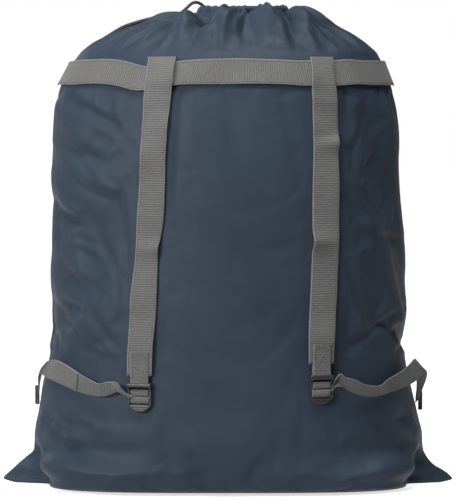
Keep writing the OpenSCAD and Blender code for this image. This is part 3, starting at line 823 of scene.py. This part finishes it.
def relax(pf, pb):
    """Cloth simulation of the filled bag: slack cloth under a little pressure, held at hem and webbing."""
    n = (NV + 1) * (NU + 1)
    verts = np.vstack([pf.reshape(-1, 3), pb.reshape(-1, 3)]) * MM
    ident = np.arange(2 * n)
    rowj = np.arange(NV + 1) * (NU + 1)
    for c in (0, NU):
        ident[n + rowj + c] = rowj + c
    ident[n:n + NU + 1] = np.arange(NU + 1)
    used, inv = np.unique(ident, return_inverse=True)
    faces = [tuple(inv[list(f)]) for f in panel_faces(False)]
    faces += [tuple(inv[[n + k for k in f]]) for f in panel_faces(True)]
    me = bpy.data.meshes.new("sim")
    me.from_pydata([tuple(v) for v in verts[used]], [], [tuple(int(k) for k in f) for f in faces])
    ob = bpy.data.objects.new("sim", me)
    scene.collection.objects.link(ob)
    mask = np.r_[MASK[0].ravel(), MASK[1].ravel()][used]
    row = np.r_[np.repeat(np.arange(NV + 1), NU + 1), np.repeat(np.arange(NV + 1), NU + 1)][used]
    z = verts[used][:, 2]
    pin = np.maximum(mask * 0.9, (row >= NV - 22) * 1.0)
    pin = np.maximum(pin, (z < 0.004) * (row < NV // 2) * 1.0)
    vg = ob.vertex_groups.new(name="pin")
    for i, w in enumerate(pin):
        if w > 0.01:
            vg.add([i], float(w), "REPLACE")
    mod = ob.modifiers.new("cloth", "CLOTH")
    cs = mod.settings
    for key, value in (
            ("quality", 6), ("mass", 0.12), ("tension_stiffness", 40), ("compression_stiffness", 40),
            ("shear_stiffness", 12), ("bending_stiffness", 0.35), ("shear_damping", 12),
            ("compression_damping", 12), ("tension_damping", 12), ("bending_damping", 0.6),
            ("air_damping", 4), ("use_pressure", True), ("uniform_pressure_force", 2.2), ("shrink_min", -0.022),
            ("shrink_max", -0.022), ("vertex_group_mass", "pin"), ("pin_stiffness", 4)):
        setattr(cs, key, value)
    cs.effector_weights.gravity = 0.25
    mod.collision_settings.use_collision = False
    mod.collision_settings.use_self_collision = False
    mod.point_cache.frame_start = 1
    mod.point_cache.frame_end = SIM_FRAMES
    for f in range(1, SIM_FRAMES + 1):
        scene.frame_set(f)
    dg = bpy.context.evaluated_depsgraph_get()
    ev = ob.evaluated_get(dg)
    co = np.zeros(len(used) * 3)
    ev.data.vertices.foreach_get("co", co)
    co = co.reshape(-1, 3) / MM
    bpy.data.objects.remove(ob)
    scene.frame_set(1)
    full = co[inv]
    return full[:n].reshape(pf.shape), full[n:].reshape(pb.shape)


def settle(base, n, sim, mask, calm):
    """Keep the simulated wrinkles, but never far from the form, and down under the webbing."""
    d = sim - base
    along = np.sum(d * n, -1)
    side = d - along[..., None] * n
    cap = 9.0  # mm
    along = cap * np.tanh(along / cap) - 1.0
    side = side * (1 / np.maximum(1, np.linalg.norm(side, axis=-1, keepdims=True) / cap))
    keep = (1 - smooth(0.0, 0.9, mask))
    x, z = base[..., 0], base[..., 2]
    middle = (1 - smooth(110, 175, np.abs(x - 4))) * smooth(60, 120, z) * (1 - smooth(590, 640, z))
    keep = keep * (1 - calm * middle)
    out = base + side * keep[..., None] + n * (along * keep)[..., None]
    return out


SF, SB = relax(PF, PB)
print("sim moved mm", float(np.abs(SF - PF).max()), float(np.abs(SF - PF).mean()))
PF2 = settle(PF, NRM[0], SF, MASK[0], 0.72)
PB2 = settle(PB, NRM[1], SB, MASK[1], 0.35)
for c in (0, -1):
    PF2[:, c, 1] = 0
    PB2[:, c] = PF2[:, c]
PB2[0] = PF2[0]
PF, PB = PF2, PB2
hf, hb = late_height(FRONT, -1, MASK[0]), late_height(BACK, 1, MASK[1])
for c in (0, -1):
    hf[:, c] = hb[:, c] = 0.5 * (hf[:, c] + hb[:, c])
PF = lean(PF + NRM[0] * hf[..., None])
PB = lean(PB + NRM[1] * hb[..., None])
for c in (0, -1):
    PB[:, c] = PF[:, c] = PF[:, c] * [1, 0, 1]
for P in (PF, PB):
    low = np.arange(NV + 1)[:, None] < NV * 0.5
    P[..., 2] = np.where(low, np.maximum(P[..., 2], 0.15), P[..., 2])

for name, P, flip, node in (("bag_strap_side", PF, False, "strap_side_panel"),
                            ("bag_far_side", PB, True, "far_side_panel")):
    ob = make_mesh(name, P.reshape(-1, 3) * MM, panel_faces(flip), UVGRID, NAVY)
    m = ob.modifiers.new("sub", "SUBSURF")
    m.levels = m.render_levels = 1
    apply_modifiers(ob)
    ob.data.polygons.foreach_set("use_smooth", [True] * len(ob.data.polygons))
    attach(ob, "bag")
    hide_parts(node)
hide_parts("mouth_hem")


# ------------------------------------------------------------------ webbing that can curl along its length
def strap(name, rows, thick, material, step=3.0, curl=None, cols=14, lift=0.0, v0=0.0):
    """Webbing through rows of (one edge, other edge) in mm. curl is the fold along the middle in degrees."""
    flat = [list(a) + list(b) + [0.0 if curl is None else curl[i]] for i, (a, b) in enumerate(rows)]
    p = spline(np.array(flat, float), step)
    lo, hi, th = p[:, 0:3], p[:, 3:6], np.radians(p[:, 6])
    centre = (lo + hi) / 2
    across = unit(hi - lo)
    half = np.linalg.norm(hi - lo, axis=1) / 2
    tan = unit(np.gradient(centre, axis=0))
    front = unit(np.cross(tan, across))
    centre = centre + front * lift
    return curled(name, centre, across, front, half, th, thick, material, cols, v0)


def curled(name, centre, across, front, half, th, thick, material, cols=14, v0=0.0):
    prof = [(c, 0.5) for c in np.linspace(-0.975, 0.975, cols)] + [(1.0, 0.2), (1.0, -0.2)]
    prof += [(c, -0.5) for c in np.linspace(0.975, -0.975, cols)] + [(-1.0, -0.2), (-1.0, 0.2)]
    s = np.r_[0, np.cumsum(np.linalg.norm(np.diff(centre, axis=0), axis=1))]
    fine = np.linspace(-1, 1, 81)
    verts, uv = [], []
    for i in range(len(centre)):
        ang = th[i] * (smooth(-0.5, 0.5, fine) - 0.5)
        du, dn = np.cos(ang), -np.sin(ang)
        # the curl keeps the width of the webbing
        cu = np.r_[0, np.cumsum((du[1:] + du[:-1]) / 2)] * 0.025
        cn = np.r_[0, np.cumsum((-dn[1:] - dn[:-1]) / 2)] * 0.025
        cu -= cu.mean()
        cn -= cn.max()
        for a, t in prof:
            u, w = np.interp(a, fine, cu), np.interp(a, fine, cn)
            q = np.interp(a, fine, ang)
            u += -math.sin(q) * t * thick / half[i]
            w += math.cos(q) * t * thick / half[i]
            verts.append(centre[i] + half[i] * (u * across[i] + w * front[i]))
            uv.append(((a + 1) / 2, s[i] * MM + v0))
    m = len(prof)
    faces = [(i * m + j, i * m + (j + 1) % m, (i + 1) * m + (j + 1) % m, (i + 1) * m + j)
             for i in range(len(centre) - 1) for j in range(m)]
    faces += [tuple(range(m))[::-1], tuple((len(centre) - 1) * m + j for j in range(m))]
    ob = make_mesh(name, np.array(verts) * MM, faces, uv, material)
    outward(ob)
    return ob


EYE_BACK, EYE_UP = 4000, 500  # the camera, in mm
EYE_SEEN = 514                # the height in the tables below that is level with the camera


def real(across, height, y):
    """Point at depth y that the camera sees at (across, height) on the bag's middle plane, in mm."""
    k = (EYE_BACK + y) / EYE_BACK
    return [across * k, y, EYE_UP + (height - EYE_SEEN) * k]


# ------------------------------------------------------------------ upper band
def on_ring(s, z, off):
    """Point round the strap side at height z, s from -1 to 1."""
    r = cad_row(z)
    a = np.pi / 2 * np.asarray(s, float)
    x = r[0] + (r[1] + off) * np.sign(np.sin(a)) * np.abs(np.sin(a)) ** (2 / r[3])
    y = (r[2] + off) * np.abs(np.cos(a)) ** (2 / r[3])
    return np.stack([x, -y, np.broadcast_to(z, x.shape)], -1)


BAND_LOW, BAND_HIGH, BAND_END = 555.5, 592.0, 0.975
ss = np.linspace(-BAND_END, BAND_END, 1200)
mid = on_ring(ss, (BAND_LOW + BAND_HIGH) / 2, 3.2)
arc = np.r_[0, np.cumsum(np.linalg.norm(np.diff(mid, axis=0), axis=1))]
ss = np.interp(np.linspace(0, arc[-1], 180), arc, ss)
low, high, mid = (on_ring(ss, z, 3.2) for z in (BAND_LOW, BAND_HIGH, (BAND_LOW + BAND_HIGH) / 2))
across = unit(high - low)
tan = unit(np.gradient(mid, axis=0))
front = unit(np.cross(tan, across))
bx = mid[:, 0]
shift = (-8.5 * bump(bx, -112, 24) * (bx < -112) - 8.5 * bump(bx, -112, 30) * (bx >= -112)
         + 1.6 * bump(bx, -168, 22) + 1.0 * np.sin(bx / 41 + 1.0) - 1.4 * bump(bx, 98, 16)
         + 1.2 * bump(bx, 176, 20))
shift *= smooth(0, 0.1, BAND_END - np.abs(ss))
puff = (0.5 + 0.5 * np.sin(bx / 17 + 0.6) * np.sin(bx / 29) + 1.6 * bump(bx, -150, 20)
        + 1.2 * bump(bx, 176, 16))
tilt = 0.05 * np.sin(bx / 23 + 2.0) + 0.10 * bump(bx, -196, 10)
across2 = unit(across + front * tilt[:, None])
centre = lean(mid + across * shift[:, None] + front * puff[:, None])
band = curled("upper_band_webbing", centre, across2, front, np.full(len(ss), 18.4), 0 * bx, 1.5, GREY, 12)
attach(band, "bag")
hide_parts("upper_band")


def line_on(centre, across, front, a, lift):
    return (centre + across * a + front * lift) * MM, front


lines = [line_on(centre, across2, front, a, 0.75) for a in (-15.6, 15.4)]
ob = stitches("upper_band_stitches", lines, THREAD)
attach(ob, "bag")


# ------------------------------------------------------------------ shoulder straps, sewn heads included
def shoulder(side, rows, xl, xr, slant, tilts, waves):
    # up behind the band, over its edge and down its front: height, distance from the cloth
    head = [[573, 1.5], [585, 1.6], [591, 1.8], [594.3, 3.4], [593.6, 5.2], [590, 6.0], [580, 6.6],
            [568, 7.0], [560, 7.2]]
    full = [[z, xl + slant * (594 - z) / 34, xr + slant * (594 - z) / 34, off] for z, off in head]
    full += [[z, a, b, w + 0.8] for z, a, b, w in rows]
    full[9][3] = 6.4
    full[10][3] = max(full[10][3], 4.2)
    p = []
    for z, a, b, off in full:
        c = on_side((a + b) / 2, z, off)
        l, r = on_side(a, z, off), on_side(b, z, off)
        p.append([*c, *(r - l), z, off])
    p = spline(np.array(p), 3.5)
    centre = p[:, 0:3].copy()
    across = unit(p[:, 3:6])
    half = np.linalg.norm(p[:, 3:6], axis=1) / 2
    tan = unit(np.gradient(centre, axis=0))
    front = unit(np.cross(tan, across))
    z = p[:, 6]
    down = (np.arange(len(z)) > np.argmax(z))
    t = sum(a * bump(z, c, w) for c, w, a in tilts) * down
    lift = sum(a * bump(z, c, w) for c, w, a in waves) * down
    across = unit(across + front * t[:, None])
    centre += front * (lift + np.abs(t) * half * 0.8)[:, None]
    ob = curled(side + "_shoulder_webbing", centre, across, front, half, 0 * z, 1.6, GREY, 12)
    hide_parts(side + "_strap_head", side + "_shoulder_strap")
    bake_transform(ob)


shoulder("left", LEFT_ROWS, -108.5, -70.5, -3.5,
         [(572, 16, 0.13), (505, 16, 0.10), (455, 20, -0.13), (335, 9, 0.12), (262, 14, -0.05)],
         [(480, 26, 2.6), (405, 30, 1.0), (335, 12, 1.8), (280, 20, 1.0), (536, 10, 1.5)])
shoulder("right", RIGHT_ROWS, 111.5, 143, 1.8,
         [(572, 15, -0.13), (478, 8, 0.16), (500, 16, -0.07), (345, 9, -0.14), (420, 24, 0.05)],
         [(478, 16, 2.0), (345, 14, 2.2), (430, 30, 1.2), (270, 22, 1.0), (534, 10, 1.5)])


# ------------------------------------------------------------------ what sits at each buckle
class At:
    def __init__(self, c, turn):
        t = math.radians(turn)
        self.c = np.array(c)
        self.m = np.array([[math.cos(t), math.sin(t), 0], [-math.sin(t), math.cos(t), 0], [0, 0, 1]])

    def out(self, p):
        return self.c + np.asarray(p, float) @ self.m


BAR_OFF = 4.8  # from the cloth to the middle of the first bar, as in part.scad


def first_bar(x, z, turn):
    """Middle of a ladder-lock's first bar, in front of the cloth at (x, z) and turned to face out."""
    t = math.radians(turn)
    return At((x + BAR_OFF * math.sin(t), -float(side_y(x, z, 0)) - BAR_OFF * math.cos(t), z), turn)


BARS = {"left": first_bar(-118, 151.5, -14.745), "right": first_bar(125, 162.0, 16.352)}
NARROW = 12.5  # half width of the narrow webbing


def add_prism(V, F, outline, axis, lo, hi):
    """Outline in the other two axes, from lo to hi along the given axis."""
    b, n = len(V), len(outline)
    for h in (lo, hi):
        for q in outline:
            p = list(q)
            p.insert(axis, h)
            V.append(tuple(p))
    F.append(tuple(range(b, b + n))[::-1])
    F.append(tuple(range(b + n, b + 2 * n)))
    F += [(b + i, b + (i + 1) % n, b + n + (i + 1) % n, b + n + i) for i in range(n)]


def circle(r, c=(0, 0), n=28, sx=1.0, sy=1.0):
    turns = [2 * math.pi * k / n for k in range(n)]
    return [(c[0] + sx * r * math.cos(a), c[1] + sy * r * math.sin(a)) for a in turns]


def moulded(name, V, F, place, voxel, material):
    """Moulded part: the shapes fused and their edges softened."""
    ob = make_mesh(name, np.array(V) * MM, F, None, material)
    outward(ob)
    r = ob.modifiers.new("fuse", "REMESH")
    r.mode = "VOXEL"
    r.voxel_size = voxel * MM
    r.use_smooth_shade = True
    s = ob.modifiers.new("soften", "SMOOTH")
    s.factor = 0.5
    s.iterations = 4
    apply_modifiers(ob)
    co = np.zeros(len(ob.data.vertices) * 3)
    ob.data.vertices.foreach_get("co", co)
    ob.data.vertices.foreach_set("co", (place.out(co.reshape(-1, 3) / MM) * MM).ravel())
    ob.data.polygons.foreach_set("use_smooth", [True] * len(ob.data.polygons))
    ob.data.update()
    return ob


def ladder_lock(side):
    V, F = [], []
    hw = 16.5
    add_prism(V, F, circle(1.6), 0, -hw + 1, hw - 1)
    for s in (-1, 1):
        x0, x1 = sorted((s * hw, s * (hw - 3.1)))
        rail = [(-1.9, -27.4), (1.9, -27.4), (1.9, 1.6), (0.8, 2.6), (-4.6, 2.4), (-5.9, 1.2), (-5.9, -2.4),
                (-4.8, -4.0), (-1.9, -6.5)]
        add_prism(V, F, rail, 0, x0, x1)
    hood = [(-4.0, -3.2), (-5.4, -3.2), (-6.0, -2.2), (-6.1, 0.6), (-5.5, 2.0), (-4.6, 2.6), (-4.0, 2.4)]
    add_prism(V, F, hood, 0, -hw + 1, hw - 1)
    add_prism(V, F, circle(1.9, (0, -10.5), sx=0.75), 0, -hw + 1, hw - 1)
    add_prism(V, F, circle(2.0, (0, -22.0), sx=0.75), 0, -hw + 1, hw - 1)
    top = -26.6
    a0 = math.asin((-19 - top) / 18.0)
    arc = np.linspace(-math.pi / 2 + a0 + 0.02, math.pi / 2 - a0 - 0.02, 24)
    tab = [(18 * math.sin(a), -19 - 18 * math.cos(a)) for a in arc]
    tab = [(max(-16.5, min(16.5, x)), z) for x, z in tab]
    tab = [(-16.5, top)] + tab + [(16.5, top)]
    add_prism(V, F, [(x, z) for x, z in tab], 1, -1.3, 1.3)
    for z in (-29.6, -32.0, -34.4):
        w = math.sqrt(max(18 ** 2 - (z + 19) ** 2, 0)) - 2.5
        add_prism(V, F, circle(0.75, (-1.25, z), 12), 0, -w, w)
    ob = moulded(side + "_ladder_lock_frame", V, F, BARS[side], 0.42, PLASTIC)
    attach(ob, side + "_ladder_lock")
    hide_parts(side + "_buckle")


def local_ribbon(name, side, path, half, thick, material, step=0.8, skew=0.0):
    """Webbing across the buckle along a path in its depth and height."""
    at = BARS[side]
    p = spline(np.array(path, float), step)
    n = len(p)
    k = np.linspace(0, 1, n)
    centre = np.stack([skew * k, p[:, 0], p[:, 1]], 1)
    tan = unit(np.gradient(centre, axis=0))
    across = np.tile([1.0, 0, 0], (n, 1))
    front = unit(np.cross(tan, across))
    ob = curled(name, at.out(centre), across @ at.m, front @ at.m, np.full(n, half), np.zeros(n), thick,
                material, 10)
    return ob


def buckle_webbing(side, height):
    at = BARS[side]
    path = [(-2.3, height), (-2.1, height - 8), (-1.9, 18), (-2.3, 9), (-2.7, 3), (-2.5, -0.6),
            (-1.5, -2.2), (0, -2.7), (1.5, -2.2), (2.5, -0.6), (2.7, 3), (2.2, 9), (1.8, 18),
            (1.7, height - 8), (1.7, height)]
    ob = local_ribbon(side + "_loop_webbing", side, path, NARROW, 1.3, GREY_FINE)
    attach(ob, side + "_strap")
    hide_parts(side + "_strap_loop")
    x0, x1, z0, z1 = -10.2, 10.2, 10.5, height - 2.2

    def seg(a, b):
        q = np.linspace(0, 1, 12)[:, None]
        pts = np.array(a) * (1 - q) + np.array(b) * q
        y = np.interp(pts[:, 1], [2, 9, 18, height - 8, height], [-3.42, -3.02, -2.62, -2.82, -3.02])
        pts = np.stack([pts[:, 0], y, pts[:, 1]], 1)
        return at.out(pts) * MM, np.tile(np.array([0, -1.0, 0]) @ at.m, (12, 1))

    box = [((x0, z0), (x1, z0)), ((x0, z1), (x1, z1)), ((x0, z0), (x0, z1)), ((x1, z0), (x1, z1)),
           ((x0, z0), (x1, z1)), ((x0, z1), (x1, z0)), ((x0, z1 - 1.6), (x1, z1 - 1.6))]
    rows = [seg(a, b) for a, b in box]
    st = stitches(side + "_loop_stitches", rows, THREAD, 0.0026, 0.0008, 0.00048)
    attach(st, side + "_strap")
    over = [(2.3, -12.5), (2.3, -8.6), (1.2, -7.2), (-0.6, -6.9), (-2.3, -7.6), (-3.0, -10.5), (-2.6, -13.6),
            (-1.0, -15.2), (0.8, -15.9), (2.3, -17.2), (2.7, -21.5), (2.0, -25.2), (0.0, -26.0),
            (-2.2, -25.4), (-3.3, -22.0), (-3.0, -18.6), (-1.9, -17.1)]
    s = 1 if side == "left" else -1
    if side == "left":
        over = [(a, b + 1.6 * float(smooth(-14, -20, b))) for a, b in over]
    wr = local_ribbon(side + "_buckle_webbing", side, over, NARROW, 1.3, GREY_FINE, 0.7, skew=1.6 * s)
    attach(wr, side + "_ladder_lock")
    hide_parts(side + "_webbing_wrap")


for side, height in (("left", 44), ("right", 45)):
    ladder_lock(side)
    buckle_webbing(side, height)

# ------------------------------------------------------------------ lower straps
# edges as (across, height) where the camera sees them, and the depth of each edge (mm)
LEFT_LOW = [
    ((-128, 130), (-128, 139), -146, -146, 150), ((-139, 132.5), (-139.5, 141), -148, -149, 148),
    ((-148, 137), (-148, 147.6), -149, -150, 120), ((-154.5, 141.5), (-154, 155.5), -147, -151, 70),
    ((-162, 139.5), (-162, 157), -142, -150, 30), ((-171, 136.7), (-171, 156), -137, -147, 12),
    ((-182, 136.2), (-181, 153.8), -129, -142, 0), ((-195, 138.5), (-192.5, 159), -120, -133, 0),
    ((-211, 143), (-209, 168.8), -108, -114, 0), ((-227, 150.6), (-224, 179), -95, -98, 0),
    ((-242, 157.5), (-236, 185.5), -77, -86, 0), ((-255, 163.5), (-242, 187.5), -58, -76, 0),
    ((-263.5, 167.0), (-247.5, 187), -44, -67, 0), ((-266.5, 161), (-254, 185), -36, -60, 20),
    ((-266.5, 152), (-259.5, 174), -29, -47, 10), ((-266.8, 141), (-262.5, 160), -22, -36, 0),
    ((-267, 130), (-264.5, 147), -15, -26, 0), ((-266.5, 124), (-265.5, 140), -10, -18, 0),
]
RIGHT_LOW = [
    ((139, 141), (139, 150), -144, -144, 150), ((146, 142), (147, 152.5), -146, -147, 146),
    ((152, 147), (151, 163), -147, -150, 110), ((160, 148.5), (158, 168.5), -143, -151, 50),
    ((167, 145), (165.5, 163), -138, -148, 14), ((180, 139.4), (180, 158.8), -130, -143, 0),
    ((194.5, 135.6), (194.5, 152.4), -119, -134, 0), ((213, 137.2), (213, 151), -106, -123, 0),
    ((226, 141.6), (226, 161), -93, -104, 0), ((244.7, 148), (244.7, 172.5), -74, -76, 0),
    ((262, 156.7), (254.8, 181.9), -54, -63, 0), ((277.5, 171.2), (261.5, 189), -34, -52, 0),
    ((278.8, 163), (264, 185), -28, -46, 20), ((275, 152), (264.5, 172), -24, -38, 12),
    ((271, 141), (264.5, 158), -19, -30, 0), ((266.5, 131), (264.2, 146), -14, -23, 0),
    ((263, 126.5), (263.5, 138), -9, -17, 0),
]


def lower(side, rows, overlap):
    edges = [(real(*a, ya), real(*b, yb)) for a, b, ya, yb, _ in rows]
    fold = [r[4] for r in rows]
    ob = strap(side + "_lower_webbing", edges, 1.3, GREY_FINE, 2.6, fold)
    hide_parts(side + "_lower_strap")
    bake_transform(ob)
    if overlap:
        a, b = overlap
        two = strap(side + "_lower_end", edges[a:b], 1.3, GREY_FINE, 2.6, lift=-1.5)
        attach(two, side + "_strap")


lower("left", LEFT_LOW, (8, 12))
lower("right", RIGHT_LOW, None)


# ------------------------------------------------------------------ side tabs
def side_tab(side, x, z0, s):
    out = [(0, -1.4), (2.4, -1.2), (4.6, -2.4), (5.3, -5.0), (4.6, -7.8), (2.4, -9.2), (0, -9.0)]
    loop = [(x + s * a, b) for a, b in out]
    p = spline(np.array(loop, float), 0.8)
    rows = [((a, b, z0), (a, b, z0 + 26)) for a, b in p]
    ob = strap(side + "_tab_webbing", rows, 1.2, TAB, 0.8)
    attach(ob, "bag")
    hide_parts(side + "_side_tab")


side_tab("left", -264.4, 112, -1)
side_tab("right", 266.6, 104, 1)

# ------------------------------------------------------------------ CAD nodes that stay
for node, mat in (("cord_lock_barrel", PLASTIC), ("cord_lock_plunger", PLASTIC), ("cord_lock_spring", STEEL),
                  ("hem_eyelet", EYELET), ("drawstring_in_hem", CORD)):
    ob = bpy.data.objects[node]
    ob.data.materials.clear()
    ob.data.materials.append(mat)


# ------------------------------------------------------------------ floor, light, world
def floor_material():
    m, nt, b = new_material("floor")
    g = Graph(nt)
    pale = g.ramp(g.noise(g.obj(), 1.2, 2), [(0.3, (0.40, 0.40, 0.405)), (0.7, (0.43, 0.43, 0.435))])
    g.link(pale, b.inputs["Base Color"])
    set_inputs(b, Roughness=0.9, Specular_IOR_Level=0.1, Emission_Color=(1, 1, 1, 1))
    _, y, _ = g.xyz(g.obj())
    near = g.put("ShaderNodeMapRange", interpolation_type="SMOOTHSTEP")
    set_inputs(near, From_Min=-0.35, From_Max=0.05, To_Max=0.97)
    g.link(y, near.inputs["Value"])
    g.link(near.outputs[0], b.inputs["Emission Strength"])
    return m


floor = make_mesh("floor", [(-30, -30, 0), (30, -30, 0), (30, 30, 0), (-30, 30, 0)], [(0, 1, 2, 3)], None,
                  floor_material())


def area_light(name, place, at, size, energy, color=(1, 1, 1)):
    d = bpy.data.lights.new(name, "AREA")
    d.shape = "SQUARE"
    d.size = size
    d.energy = energy
    d.color = color
    o = bpy.data.objects.new(name, d)
    o.location = place
    o.rotation_euler = (Vector(at) - Vector(place)).to_track_quat("-Z", "Y").to_euler()
    scene.collection.objects.link(o)


area_light("key", (-2.85, -2.65, 1.5), (0, 0, 0.34), 1.3, 92, (1.0, 0.985, 0.96))
area_light("front", (-2.3, -3.15, 1.3), (0, 0, 0.34), 1.2, 100, (1.0, 0.99, 0.98))
area_light("far_side", (-2.4, 3.0, 2.0), (0, 0, 0.35), 1.8, 22)
area_light("top", (0.0, -0.95, 2.75), (0, 0, 0.55), 1.0, 100)

world = bpy.data.worlds.new("studio")
world.use_nodes = True
wt = world.node_tree
wg = Graph(wt)
bg = wt.nodes["Background"]
_, wy, _ = wg.xyz(wg.put("ShaderNodeTexCoord").outputs["Generated"])
# white straight behind the bag, dark grey all round, so that the sides of the bag stay dark
backdrop = [(0.975, (0.09, 0.09, 0.092)), (0.988, (1.0, 1.0, 1.0))]
wg.link(wg.ramp(wg.math("MULTIPLY_ADD", wy, 0.5, 0.5), backdrop), bg.inputs[0])
bg.inputs[1].default_value = 1.0
scene.world = world
scene.view_settings.view_transform = "Standard"
scene.view_settings.look = "None"
